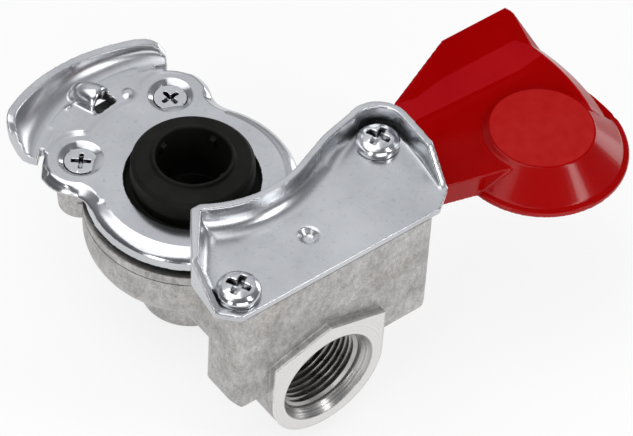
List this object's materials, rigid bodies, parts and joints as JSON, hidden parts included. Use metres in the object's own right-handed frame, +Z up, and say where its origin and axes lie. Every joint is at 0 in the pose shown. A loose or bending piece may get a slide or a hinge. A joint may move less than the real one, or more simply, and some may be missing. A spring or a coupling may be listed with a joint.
{
  "type": "gladhand air brake coupler",
  "caption": "Trailer air brake palm coupling head: cast body with threaded port, rubber seal, pressed claw plate and guide plate, and a red dust lid that swings over the seal.",
  "frame": {"origin": "on the seal ring's axis, at the top face of the claw plate", "axes": "+Z up along the seal axis towards the mating head, +Y from the port towards the claw, +X towards the lid's pivot"},
  "size_m": [0.1204, 0.105, 0.0617],
  "materials": {
    "cast_aluminium": "as cast, finely grained",
    "rubber": "matte",
    "zinc_plate": "bright zinc plate on pressed steel",
    "zinc_screw": "bright zinc plate",
    "red_plastic": "glossy moulding"
  },
  "bodies": {
    "housing": {"body": "cast_aluminium", "seal_ring": "rubber", "claw_plate": "zinc_plate", "claw_plate_screws": "zinc_screw", "guide_plate": "zinc_plate", "guide_plate_screws": "zinc_screw"},
    "lid": {"lid": "red_plastic"}
  },
  "joints": [
    {"name": "lid_swing", "type": "hinge", "parent": "housing", "child": "lid", "pos_m": [0.0314, -0.0276, 0.008], "axis": [0, 0, 1], "range_deg": [0, 158]}
  ]
}
